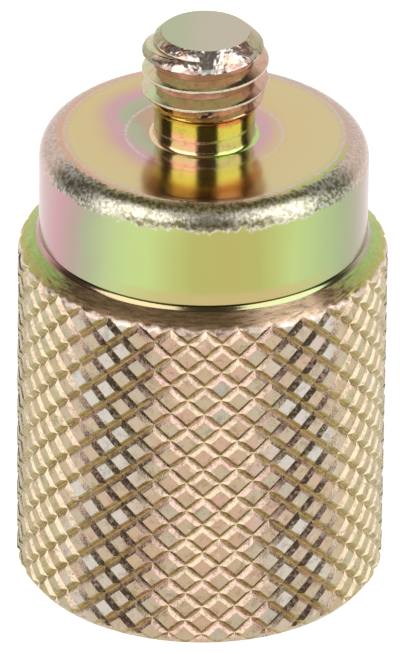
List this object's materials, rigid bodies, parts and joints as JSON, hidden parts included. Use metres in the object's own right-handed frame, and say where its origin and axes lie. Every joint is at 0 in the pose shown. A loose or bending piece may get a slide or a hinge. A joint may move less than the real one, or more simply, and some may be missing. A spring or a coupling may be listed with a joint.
{
  "type": "spacer bolt",
  "caption": "Knurled round spacer bolt with a smooth collar, a short threaded stud on top and a tapped hole in the base.",
  "frame": {"origin": "centre of the flat base", "axes": "+Z along the bolt's axis, from the base towards the threaded stud"},
  "size_m": [0.028, 0.028, 0.0452],
  "materials": {
    "plated_steel": "yellow zinc chromate plating over turned and knurled steel"
  },
  "bodies": {
    "root": {"spacer_bolt": "plated_steel"}
  },
  "joints": []
}
